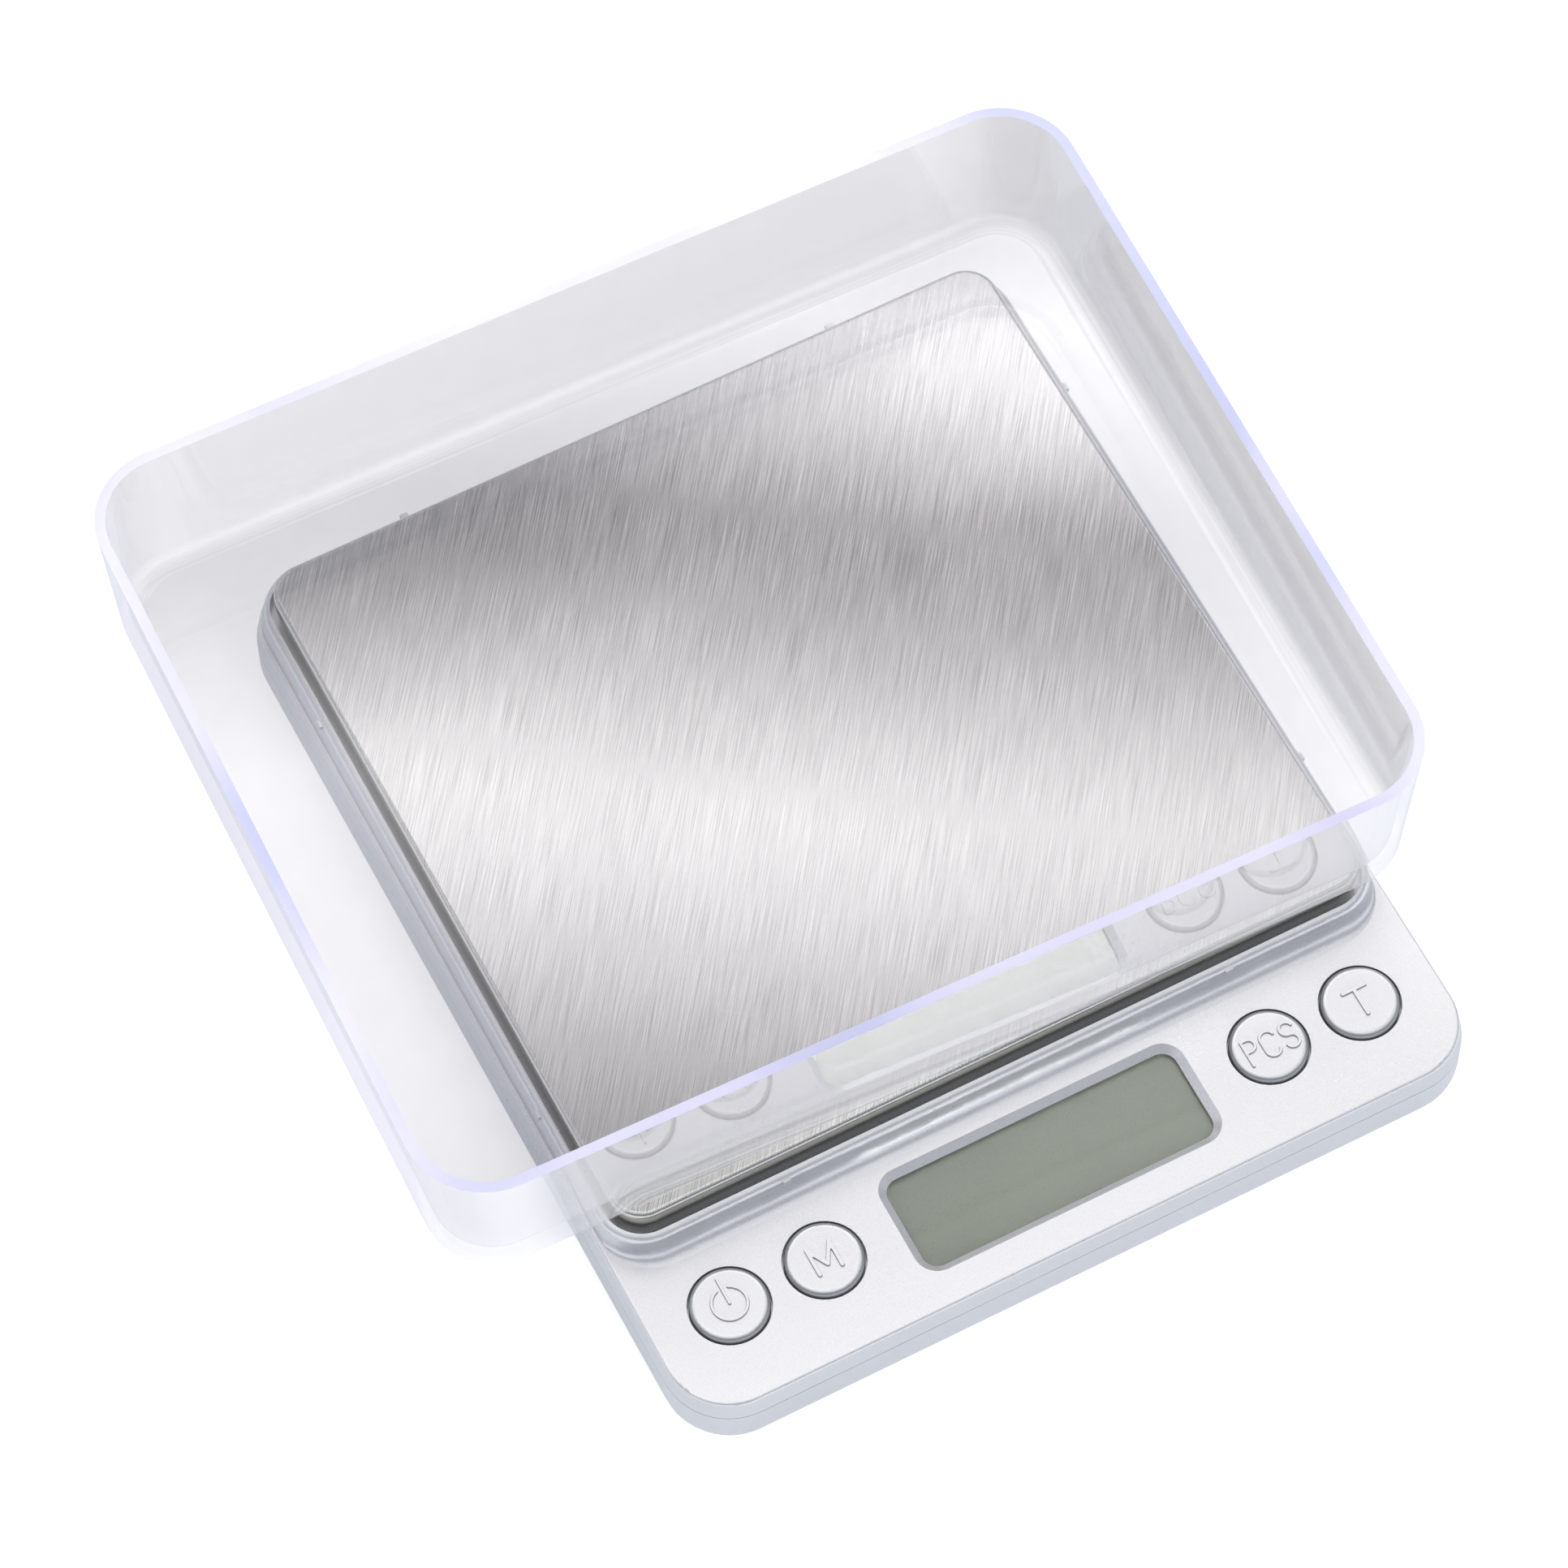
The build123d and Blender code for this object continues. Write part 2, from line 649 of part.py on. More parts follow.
with BuildPart(floor_plane) as switch_bodies:
    for x in button_xs.values():
        with BuildSketch(at(board_top)):
            with Locations((x, button_y)):
                RectangleRounded(6.0, 6.0, 0.4)
        extrude(amount=2.0)
        with BuildSketch(at(board_top + 0.5)):
            with Locations((x, button_y)):
                Circle(1.58)
        extrude(amount=3.0, mode=Mode.SUBTRACT)
save(switch_bodies, "switch_bodies")

# ---------------------------------------------------------------- circuit board
with BuildPart(floor_plane) as circuit_board:
    with BuildSketch(at(board_low)):
        with Locations((0, (board_front + board_back) / 2)):
            RectangleRounded(2 * board_half, board_back - board_front, 2.5)
        with Locations(*board_screw_spots):
            Circle(1.15, mode=Mode.SUBTRACT)
    extrude(amount=board_top - board_low)
save(circuit_board, "circuit_board")

with BuildPart(floor_plane) as chip_cover:
    with BuildSketch(at(board_top)):
        with Locations((4.0, -33.0)):
            Circle(4.6)
    extrude(amount=1.4)
    fillet(chip_cover.faces().sort_by(Axis.Z)[-1].edges(), 1.2)
save(chip_cover, "chip_cover")

with BuildPart(floor_plane) as board_parts:
    for x, y, w, l, h in (
        (14.0, -31.0, 2.0, 1.2, 0.8),
        (14.0, -34.5, 2.0, 1.2, 0.8),
        (19.0, -33.0, 3.2, 1.6, 1.6),
        (-18.0, -34.0, 4.9, 3.9, 1.5),
        (-25.0, -36.0, 2.0, 1.2, 0.8),
        (28.0, -35.0, 2.0, 1.2, 0.8),
    ):
        with BuildSketch(at(board_top)):
            with Locations((x, y)):
                Rectangle(w, l)
        extrude(amount=h)
save(board_parts, "board_parts")

with BuildPart(floor_plane) as board_screws:
    for x, y in board_screw_spots:
        screw(x, y, board_top + 1.2, 1.8, 1.2, 0.85, 3.2, True, 0.5)
save(board_screws, "board_screws")

# ---------------------------------------------------------------- batteries
with BuildPart(floor_plane) as battery_door:
    with BuildSketch(at(case_z)):
        with Locations((0, (door_front + door_back) / 2)):
            Rectangle(2 * door_half, door_back - door_front)
    extrude(amount=0.6)
    with BuildSketch(at(case_z + 0.58)):
        with Locations((0, (door_front + door_back) / 2)):
            Rectangle(2 * (door_half + door_flange), door_back - door_front)
    extrude(amount=0.42)
    # grip ridges
    with Locations((0, 52, case_z), (0, 54, case_z), (0, 56, case_z)):
        Box(14.0, 0.8, 0.5, mode=Mode.SUBTRACT)
save(battery_door, "battery_door")

for number, y, way in ((1, cell_ys[0], -1), (2, cell_ys[1], 1)):
    can_end = way * (bay_half - 0.35 - cell_nub)
    with BuildPart(floor_plane) as battery:
        mid = can_end - way * cell_can / 2
        with Locations(Location((mid, y, cell_axis_z), (0, 90, 0))):
            Cylinder(cell_r, cell_can)
        fillet(battery.edges().filter_by(GeomType.CIRCLE), 0.5)
        with Locations(Location((can_end + way * (cell_nub / 2 - 0.1), y, cell_axis_z), (0, 90, 0))):
            Cylinder(1.9, cell_nub + 0.2)
    save(battery, "battery_" + str(number))

with BuildPart(floor_plane) as battery_contacts:
    # two tabbed contacts on the left, one bridge on the right
    for y in cell_ys:
        with Locations((-bay_half + contact_t / 2, y, cell_axis_z)):
            Box(contact_t, 8.6, contact_h)
        with Locations((-bay_half + contact_t / 2, y, 11.4)):
            Box(contact_t, 3.0, 2.2)
        with Locations((-bay_half - 1.6, y, 12.25)):
            Box(3.8, 3.0, contact_t)
    with Locations((bay_half - contact_t / 2, sum(cell_ys) / 2, cell_axis_z)):
        Box(contact_t, 19.4, contact_h)
save(battery_contacts, "battery_contacts")

spring_len = 2 * bay_half - 0.7 - cell_can - cell_nub - 0.1
with BuildPart() as battery_springs:
    for y, way in ((cell_ys[0], 1), (cell_ys[1], -1)):
        root = (body_x + way * (bay_half - 0.62), body_y + y, cell_axis_z)
        with BuildLine() as coil:
            Helix(1.25, spring_len - 0.65, 2.9, center=root, direction=(-way, 0, 0))
        with BuildSketch(Plane(origin=coil.line @ 0, z_dir=coil.line % 0)):
            Circle(0.27)
        sweep(path=coil.line, is_frenet=True)
save(battery_springs, "battery_springs")


# ---------------------------------------------------------------- wires
def wire(points, bend, radius):
    """Round wire through the points with arcs at the corners."""
    with BuildLine(floor_plane) as path:
        FilletPolyline(*points, radius=bend)
    with BuildSketch(Plane(origin=path.line @ 0, z_dir=path.line % 0)) as section:
        Circle(radius)
    sweep(section.sketch, path=path.line)


with BuildPart() as gauge_wires:
    for i in range(4):
        x = -9.0 + 1.4 * i
        points = [
            (x, plate_y - 5.4, 11.45),
            (x, plate_y - 8.6, 11.45),
            (x, plate_y - 8.6, 7.6),
            (x, -26.0, 7.6),
            (x, -26.0, board_top),
        ]
        wire(points, 1.0, 0.4)
save(gauge_wires, "gauge_wires")

with BuildPart() as battery_wires:
    for y, x in ((cell_ys[0], -31.0), (cell_ys[1], -33.4)):
        points = [
            (-bay_half - 2.1, y, 11.6),
            (x, y, 11.6),
            (x, y, 7.6),
            (x, -26.0, 7.6),
            (x, -26.0, board_top),
        ]
        wire(points, 1.0, 0.45)
save(battery_wires, "battery_wires")

# ---------------------------------------------------------------- feet and case screws
with BuildPart(floor_plane) as rubber_feet:
    with BuildSketch(at(0)):
        with Locations(*foot_spots):
            Circle(3.9)
    extrude(amount=case_z + 0.3)
    chamfer(rubber_feet.edges().group_by(Axis.Z)[0], 0.3)
save(rubber_feet, "rubber_feet")

with BuildPart(floor_plane) as case_screws:
    for x, y in screw_spots:
        screw(x, y, case_z + 0.7, 2.0, 1.4, 0.95, 6.2, False, 0.5)
save(case_screws, "case_screws")

# ---------------------------------------------------------------- tray
tilt = degrees(atan2(tray_draft, tray_h))
with BuildPart() as tray_hollow:
    with BuildSketch(tray_plane.offset(top_z + tray_h)):
        RectangleRounded(tray_w - 2 * tray_t, tray_l - 2 * tray_t, tray_r - tray_t)
    extrude(amount=-(tray_h - tray_floor_t), taper=tilt)
    fillet(tray_hollow.faces().sort_by(Axis.Z)[0].edges(), 2.2)

with BuildPart() as tray:
    with BuildSketch(tray_plane.offset(top_z + tray_h)):
        RectangleRounded(tray_w, tray_l, tray_r)
    extrude(amount=-tray_h, taper=tilt)
    fillet(tray.faces().sort_by(Axis.Z)[0].edges(), 1.4)
    add(tray_hollow.part, mode=Mode.SUBTRACT)
save(tray, "tray")
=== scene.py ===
"""Kitchen scale: looks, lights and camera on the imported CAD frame.

Metres, +Z up, floor at z = 0, control panel towards -Y.
"""
import math

import bpy
from mathutils import Matrix, Vector


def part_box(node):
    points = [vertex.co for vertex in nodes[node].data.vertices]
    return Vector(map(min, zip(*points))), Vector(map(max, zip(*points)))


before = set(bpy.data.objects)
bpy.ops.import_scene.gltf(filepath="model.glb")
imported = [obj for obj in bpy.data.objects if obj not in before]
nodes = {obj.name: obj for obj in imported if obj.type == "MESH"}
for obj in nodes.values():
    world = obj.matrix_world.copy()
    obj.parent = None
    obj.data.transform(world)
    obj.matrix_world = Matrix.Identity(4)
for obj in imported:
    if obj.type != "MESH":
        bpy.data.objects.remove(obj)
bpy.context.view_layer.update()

MM = 0.001
scene = bpy.context.scene
scene.view_settings.view_transform = "Standard"
scene.view_settings.look = "None"

# ---------------------------------------------------------------- camera
HEADING = math.radians(26.756)      # the viewing direction, from +Y towards +X
LOOK_DOWN = math.radians(61.606)    # and below the horizon
ROLL = math.radians(-0.889)
TARGET = Vector((-1.21, 0.95, 20.0)) * MM       # the middle of the picture, at the platform's height
DISTANCE = 0.8097
FOCAL_MM = 153.2
SENSOR_MM = 36.0

camera = bpy.data.objects.new("camera", bpy.data.cameras.new("camera"))
scene.collection.objects.link(camera)
turned_to_scale = (Matrix.Rotation(-HEADING, 4, "Z") @ Matrix.Rotation(math.pi / 2 - LOOK_DOWN, 4, "X")
                   @ Matrix.Rotation(ROLL, 4, "Z"))
step_back = Matrix.Translation((0.0, 0.0, DISTANCE))
camera.matrix_world = Matrix.Translation(TARGET) @ turned_to_scale @ step_back
camera.data.sensor_width = SENSOR_MM
camera.data.lens = FOCAL_MM
camera.data.clip_start = 0.01
camera.data.clip_end = 20.0
scene.camera = camera


# ---------------------------------------------------------------- node helpers
class Look:
    """One material, with short calls for the nodes it is made of."""

    def __init__(self, name, **sockets):
        self.material = bpy.data.materials.new(name)
        self.material.use_nodes = True
        self.tree = self.material.node_tree
        self.tree.nodes.clear()
        self.out = self.tree.nodes.new("ShaderNodeOutputMaterial")
        self.bsdf = self.tree.nodes.new("ShaderNodeBsdfPrincipled")
        self.link(self.bsdf.outputs[0], self.out.inputs["Surface"])
        self.place = self.tree.nodes.new("ShaderNodeTexCoord").outputs["Object"]
        for key, value in sockets.items():
            self.put(key.replace("_", " "), value)

    def link(self, a, b):
        self.tree.links.new(a, b)

    def put(self, socket, value):
        """Set a socket of the shader, or feed it when value is another node's output."""
        target = self.bsdf.inputs[socket]
        if isinstance(value, bpy.types.NodeSocket):
            self.link(value, target)
        elif isinstance(value, tuple) and len(value) == 3:
            target.default_value = (*value, 1.0)
        else:
            target.default_value = value

    def mapped(self, scale=(1, 1, 1), turn=(0, 0, 0), shift=(0, 0, 0)):
        """Place turned first, then stretched and shifted."""
        turned = self.tree.nodes.new("ShaderNodeMapping")
        turned.inputs["Rotation"].default_value = turn
        self.link(self.place, turned.inputs["Vector"])
        node = self.tree.nodes.new("ShaderNodeMapping")
        node.inputs["Scale"].default_value = scale
        node.inputs["Location"].default_value = shift
        self.link(turned.outputs["Vector"], node.inputs["Vector"])
        return node.outputs["Vector"]

    def noise(self, scale, detail=3.0, roughness=0.5, where=None):
        node = self.tree.nodes.new("ShaderNodeTexNoise")
        node.inputs["Scale"].default_value = scale
        node.inputs["Detail"].default_value = detail
        node.inputs["Roughness"].default_value = roughness
        self.link(where or self.place, node.inputs["Vector"])
        return node.outputs["Fac"]

    def span(self, value, low, high, to_low=0.0, to_high=1.0):
        """Value from low..high to to_low..to_high, clamped."""
        node = self.tree.nodes.new("ShaderNodeMapRange")
        for i, v in enumerate((low, high, to_low, to_high), 1):
            node.inputs[i].default_value = v
        self.link(value, node.inputs[0])
        return node.outputs[0]

    def math(self, what, a, b=0.0):
        node = self.tree.nodes.new("ShaderNodeMath")
        node.operation = what
        for socket, v in zip(node.inputs, (a, b)):
            if isinstance(v, bpy.types.NodeSocket):
                self.link(v, socket)
            else:
                socket.default_value = v
        return node.outputs[0]

    def ramp(self, value, *stops):
        """Colour from a value; stops are (position, (r, g, b))."""
        node = self.tree.nodes.new("ShaderNodeValToRGB")
        marks = node.color_ramp.elements
        while len(marks) < len(stops):
            marks.new(0.5)
        for mark, (position, colour) in zip(marks, stops):
            mark.position = position
            mark.color = (*colour, 1.0)
        self.link(value, node.inputs[0])
        return node.outputs[0]

    def bump(self, height, distance, strength=1.0, under=None):
        node = self.tree.nodes.new("ShaderNodeBump")
        node.inputs["Strength"].default_value = strength
        node.inputs["Distance"].default_value = distance
        self.link(height, node.inputs["Height"])
        if under is not None:
            self.link(under, node.inputs["Normal"])
        return node.outputs[0]

    def normal(self):
        node = self.tree.nodes.new("ShaderNodeNewGeometry")
        return node.outputs["Normal"]

    def split(self, vector):
        node = self.tree.nodes.new("ShaderNodeSeparateXYZ")
        self.link(vector, node.inputs[0])
        return node.outputs

    def blend(self, factor, a, b, mode="MIX"):
        """Two colours mixed; each of the three values is a number, a colour or another node's output."""
        node = self.tree.nodes.new("ShaderNodeMix")
        node.data_type = "RGBA"
        node.blend_type = mode
        for key, value in (("Factor", factor), ("A", a), ("B", b)):
            if isinstance(value, bpy.types.NodeSocket):
                self.link(value, node.inputs[key])
            elif isinstance(value, tuple):
                node.inputs[key].default_value = (*value, 1.0)
            else:
                node.inputs[key].default_value = value
        return [o for o in node.outputs if o.type == "RGBA"][0]

    def layer(self, share, under, over):
        """Two shaders mixed; share is how much of the second one shows."""
        node = self.tree.nodes.new("ShaderNodeMixShader")
        if isinstance(share, bpy.types.NodeSocket):
            self.link(share, node.inputs[0])
        else:
            node.inputs[0].default_value = share
        self.link(under, node.inputs[1])
        self.link(over, node.inputs[2])
        return node.outputs[0]

    def closure(self, kind, colour=(1.0, 1.0, 1.0)):
        """A plain shader node of this kind."""
        node = self.tree.nodes.new(kind)
        if isinstance(colour, bpy.types.NodeSocket):
            self.link(colour, node.inputs["Color"])
        else:
            node.inputs["Color"].default_value = (*colour, 1.0)
        return node

    def ray(self, kind):
        """1 for rays of this kind, else 0."""
        return self.tree.nodes.new("ShaderNodeLightPath").outputs[kind]

    def constant_vector(self, x, y, z):
        node = self.tree.nodes.new("ShaderNodeCombineXYZ")
        for socket, v in zip(node.inputs, (x, y, z)):
            socket.default_value = v
        return node.outputs[0]


def grey(v, tint=(1.0, 1.0, 1.0)):
    return tuple(v * t for t in tint)


def wear(node_name, look):
    """Give a CAD node this look."""
    for slot in nodes[node_name].material_slots:
        slot.material = look.material


# ---------------------------------------------------------------- silver paint
def silver(name, tone, grain, steep_shade, shade_below, unshaded_above):
    """Satin silver paint: fine metal grains in a clear binder.

    Where the surface is steep (its normal's z under the lower limit) it gets a painted shade:
    darker by the shade factor and cooler. Above the upper limit it has its full tone.
    """
    look = Look(name, Metallic=0.82, Specular_IOR_Level=0.5)
    fine = look.noise(5200.0, 2.0, 0.6)
    coarse = look.noise(1700.0, 3.0, 0.6)
    broad = look.noise(60.0, 2.0, 0.5)
    tint = (0.998, 0.990, 1.012)
    # painted shade: steep faces darker and cooler than flat ones
    shade_cool = tuple(steep_shade * t for t in (0.985, 1.000, 1.030))
    full = look.ramp(fine, (0.30, grey(tone - 0.05, tint)), (0.70, grey(tone + 0.045, tint)))
    steep_shaded = look.ramp(fine, (0.30, grey(tone, shade_cool)), (0.70, grey(tone + 0.05, shade_cool)))
    level_share = look.span(look.math("ABSOLUTE", look.split(look.normal())[2]), shade_below, unshaded_above)
    look.put("Base Color", look.blend(level_share, steep_shaded, full))
    mix = look.math("ADD", look.math("MULTIPLY", coarse, 0.7), look.math("MULTIPLY", broad, 0.3))
    look.put("Roughness", look.span(mix, 0.35, 0.65, 0.27, 0.35))
    skin = look.bump(coarse, 0.00002 * grain, 0.30)
    look.put("Normal", look.bump(fine, 0.00001 * grain, 0.35, under=skin))
    return look


# painted shade on both: the shell's sides, and the buttons' rims and legend slopes, darker than flat faces
shell = silver("silver_shell", 0.86, 1.0, 0.69, 0.25, 0.70)
button_silver = silver("silver_button", 0.86, 1.5, 0.50, 0.80, 0.985)
for name in ("top_cover", "bottom_case", "battery_door"):
    wear(name, shell)
for name in ("power", "mode", "pieces", "tare"):
    wear("button_" + name, button_silver)

# ---------------------------------------------------------------- brushed platform
BRUSH = math.radians(53.0)      # direction of the brushing, from +X towards +Y

steel = Look("platform_steel", Metallic=1.0, Anisotropic=0.85)
along = (0, 0, -BRUSH)
hair = steel.noise(1.0, 1.0, 0.5, steel.mapped((130, 15000, 15000), along))
line = steel.noise(1.0, 1.0, 0.5, steel.mapped((80, 9000, 9000), along, (3, 1, 2)))
cloud = steel.noise(1.0, 2.0, 0.5, steel.mapped((14, 70, 70), along, (1, 5, 3)))
# two layers of long thin strands, with broad patches under them
strands = steel.math("ADD", steel.math("MULTIPLY", hair, 0.55), steel.math("MULTIPLY", line, 0.45))
top = steel.ramp(
    strands, (0.37, (0.58, 0.575, 0.553)), (0.50, (0.785, 0.779, 0.750)), (0.63, (0.945, 0.938, 0.905)))
# the folded edge: a cloudy unbrushed finish, with painted shade: darker and warmer than the top
shaded_edge = steel.ramp(cloud, (0.3, (0.44, 0.425, 0.370)), (0.7, (0.52, 0.500, 0.440)))
on_top = steel.span(steel.split(steel.normal())[2], 0.15, 0.60)     # 0 on the folded edge
steel.put("Base Color", steel.blend(on_top, shaded_edge, top))
rough = steel.math("ADD", steel.math("MULTIPLY", strands, 0.6), steel.math("MULTIPLY", cloud, 0.4))
steel.put("Roughness", steel.span(rough, 0.3, 0.7, 0.17, 0.26))
steel.put("Normal", steel.bump(strands, 0.00001, 0.5))
steel.put("Tangent", steel.constant_vector(-math.sin(BRUSH), math.cos(BRUSH), 0.0))
wear("platform_plate", steel)

# ---------------------------------------------------------------- clear tray
# A thin sheet: light passes straight through with a tint, part of it is scattered by the upright
# walls, and the sheet mirrors more the flatter it is seen.
TRAY_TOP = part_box("tray")[1].z
FRONT_WALL_Y = -0.041           # the wall over the control panel
RIGHT_WALL_X = 0.050            # from here on the right wall and its foot
RIM_FADE = (0.35 * MM, 0.10 * MM)       # the rim's look starts and is full this far under the top

clear = Look("clear_tray", Metallic=0.0, Transmission_Weight=0.25, IOR=1.57)
facing_node = clear.tree.nodes.new("ShaderNodeLayerWeight")
facing_node.inputs["Blend"].default_value = 0.5
facing = facing_node.outputs["Facing"]
ripple = clear.bump(clear.noise(30.0, 2.0, 0.5), 0.0005, 0.04)
across, depth, level = clear.split(clear.place)
normal_y, normal_z = clear.split(clear.normal())[1:]
steepness = clear.math("ABSOLUTE", normal_z)        # 0 on an upright wall, 1 on the floor

# what passes: the walls by the angle they are seen at; painted shade: darker towards the back and the
# right
wall_tint_and_shade = clear.ramp(
    facing, (0.0, (0.95, 0.947, 0.955)), (0.30, (0.935, 0.93, 0.945)), (0.55, (0.925, 0.920, 0.935)),
    (0.85, (0.925, 0.915, 0.945)), (1.0, (0.62, 0.60, 0.80)))
shade_to_back = clear.ramp(
    clear.span(depth, -0.040, 0.050), (0.0, (1.03, 1.03, 1.03)), (1.0, (0.92, 0.92, 0.92)))
wall_tint_and_shade = clear.blend(1.0, wall_tint_and_shade, shade_to_back, "MULTIPLY")
wall_tint_and_shade = clear.blend(
    clear.span(across, RIGHT_WALL_X, 0.062), wall_tint_and_shade, (0.90, 0.90, 0.90), "MULTIPLY")
# painted shade: the floor darker towards the back
floor_tint_and_shade = clear.ramp(
    clear.span(depth, 0.030, 0.064), (0.0, (0.865, 0.861, 0.876)), (1.0, (0.765, 0.762, 0.777)))
flat_share = clear.span(steepness, 0.80, 0.98)
through = clear.closure("ShaderNodeBsdfTransparent", clear.blend(flat_share, wall_tint_and_shade, floor_tint_and_shade))

# what is scattered, on upright walls only; painted light: more of it at the front, less towards the back
# and the right
scatter = (0.97, 0.96, 0.95)
haze = clear.layer(0.5, clear.closure("ShaderNodeBsdfDiffuse", scatter).outputs[0],
                   clear.closure("ShaderNodeBsdfTranslucent", scatter).outputs[0])
painted_haze_light = clear.math("MULTIPLY", clear.span(depth, -0.040, 0.020, 1.10, 0.72),
                     clear.span(across, RIGHT_WALL_X, 0.064, 1.0, 0.75))
haze_share = clear.math("MULTIPLY", clear.span(steepness, 0.05, 0.60, 0.25, 0.0), painted_haze_light)
misty = clear.layer(haze_share, through.outputs[0], haze)

# what is mirrored, twice as much in the wall over the panel
gloss = clear.closure("ShaderNodeBsdfGlossy")
clear.link(clear.span(clear.noise(260.0, 3.0, 0.6), 0.35, 0.75, 0.02, 0.06), gloss.inputs["Roughness"])
clear.link(ripple, gloss.inputs["Normal"])
in_front = clear.math("MULTIPLY", clear.span(depth, -0.036, FRONT_WALL_Y),
                      clear.span(clear.math("ABSOLUTE", normal_y), 0.80, 0.95))
mirror = clear.math("MULTIPLY", clear.span(clear.math("POWER", facing, 4.0), 0.0, 1.0, 0.050, 0.72),
                    clear.span(in_front, 0.0, 1.0, 1.0, 2.0))
sheet = clear.layer(mirror, misty, gloss.outputs[0])

# the cut rim gathers the light of the whole wall and shows the plastic's own tint
patches = clear.noise(22.0, 2.0, 0.5)
clear.put("Base Color", clear.ramp(
    patches, (0.36, (0.50, 0.51, 0.76)), (0.50, (0.66, 0.64, 0.87)), (0.66, (0.80, 0.78, 0.94))))
clear.put("Roughness", clear.span(clear.noise(800.0, 2.0), 0.3, 0.7, 0.10, 0.22))
clear.put("Normal", ripple)
near_top = clear.span(level, TRAY_TOP - RIM_FADE[0], TRAY_TOP - RIM_FADE[1])
on_rim = clear.math("MULTIPLY", clear.math("MULTIPLY", near_top, clear.span(normal_z, 0.6, 0.9)), 0.90)
whole = clear.layer(on_rim, sheet, clear.bsdf.outputs[0])

# the walls hardly dim what the shiny parts below reflect
open_air = clear.closure("ShaderNodeBsdfTransparent", (0.96, 0.96, 0.97))
wall_share = clear.span(flat_share, 0.0, 1.0, 0.90, 0.0)
unseen = clear.math("MULTIPLY", clear.ray("Is Glossy Ray"), wall_share)
clear.link(clear.layer(unseen, whole, open_air.outputs[0]), clear.out.inputs["Surface"])
wear("tray", clear)

# ---------------------------------------------------------------- display
pane = Look("clear_window", Base_Color=(0.95, 0.97, 0.95), Transmission_Weight=1.0, IOR=1.49)
pane.put("Roughness", pane.span(pane.noise(700.0, 2.0, 0.5), 0.4, 0.7, 0.01, 0.06))
pane.put("Normal", pane.bump(pane.noise(90.0, 2.0), 0.0001, 0.1))
wear("lcd_window", pane)

lcd = Look("lcd_glass", Specular_IOR_Level=0.6)
field = lcd.noise(40.0, 2.0, 0.5)
dots = lcd.noise(5000.0, 2.0, 0.5)
tone = lcd.math("ADD", lcd.math("MULTIPLY", field, 0.7), lcd.math("MULTIPLY", dots, 0.3))
lcd.put("Base Color", lcd.ramp(tone, (0.30, (0.325, 0.345, 0.282)), (0.70, (0.372, 0.394, 0.322))))
lcd.put("Roughness", lcd.span(dots, 0.3, 0.7, 0.25, 0.38))
lcd.put("Normal", lcd.bump(dots, 0.000004, 0.3))
wear("lcd_panel", lcd)


# ---------------------------------------------------------------- hidden parts
def moulded(name, colour, grain_scale=2400.0, low=0.45, high=0.62, depth=0.00001, **sockets):
    """Moulded plastic or rubber with a fine grain and slight cloudiness."""
    look = Look(name, **sockets)
    fine = look.noise(grain_scale, 3.0, 0.6)
    cloud = look.noise(70.0, 2.0, 0.5)
    mix = look.math("ADD", look.math("MULTIPLY", fine, 0.5), look.math("MULTIPLY", cloud, 0.5))
    dark, light = tuple(c * 0.86 for c in colour), tuple(min(1.0, c * 1.10) for c in colour)
    look.put("Base Color", look.ramp(mix, (0.32, dark), (0.68, light)))
    look.put("Roughness", look.span(fine, 0.3, 0.7, low, high))
    look.put("Normal", look.bump(fine, depth, 0.5))
    return look


def metal(name, colour, low=0.18, high=0.34, stretch=(300, 300, 3000), **sockets):
    """Machined or plated metal with faint tool lines."""
    look = Look(name, Metallic=1.0, **sockets)
    lines = look.noise(1.0, 3.0, 0.6, look.mapped(stretch))
    spots = look.noise(900.0, 3.0, 0.6)
    dark, light = tuple(c * 0.84 for c in colour), tuple(min(1.0, c * 1.08) for c in colour)
    look.put("Base Color", look.ramp(lines, (0.3, dark), (0.7, light)))
    look.put("Roughness", look.span(spots, 0.3, 0.7, low, high))
    look.put("Normal", look.bump(lines, 0.000006, 0.4))
    return look


charcoal = moulded("dark_plastic", (0.055, 0.058, 0.062))
rubber = moulded("black_rubber", (0.035, 0.035, 0.036), 1500.0, 0.65, 0.85, 0.00002)
pad_foam = moulded("foam", (0.60, 0.60, 0.57), 1900.0, 0.8, 0.95, 0.00008)
sealant = moulded("white_sealant", (0.82, 0.82, 0.79), 500.0, 0.35, 0.5, 0.00005)
off_white = moulded("light_plastic", (0.75, 0.75, 0.72))
resin = moulded("black_resin", (0.02, 0.02, 0.021), 300.0, 0.12, 0.25, 0.00006, Coat_Weight=0.4)
small_parts = moulded("component", (0.13, 0.12, 0.11))
switch_black = moulded("switch_black", (0.04, 0.04, 0.042))
ivory = moulded("switch_cap", (0.70, 0.66, 0.54))
aluminium = metal("bare_aluminium", (0.78, 0.79, 0.80), 0.28, 0.42, (40, 2500, 2500))
zinc = metal("plated_steel", (0.74, 0.74, 0.71))
nickel = metal("nickel_strip", (0.76, 0.73, 0.66), 0.15, 0.3)
red_wire = moulded("wire_sleeve", (0.50, 0.04, 0.03), 800.0, 0.35, 0.5)
fine_wire = moulded("wire_sleeve_fine", (0.08, 0.24, 0.10), 800.0, 0.35, 0.5)

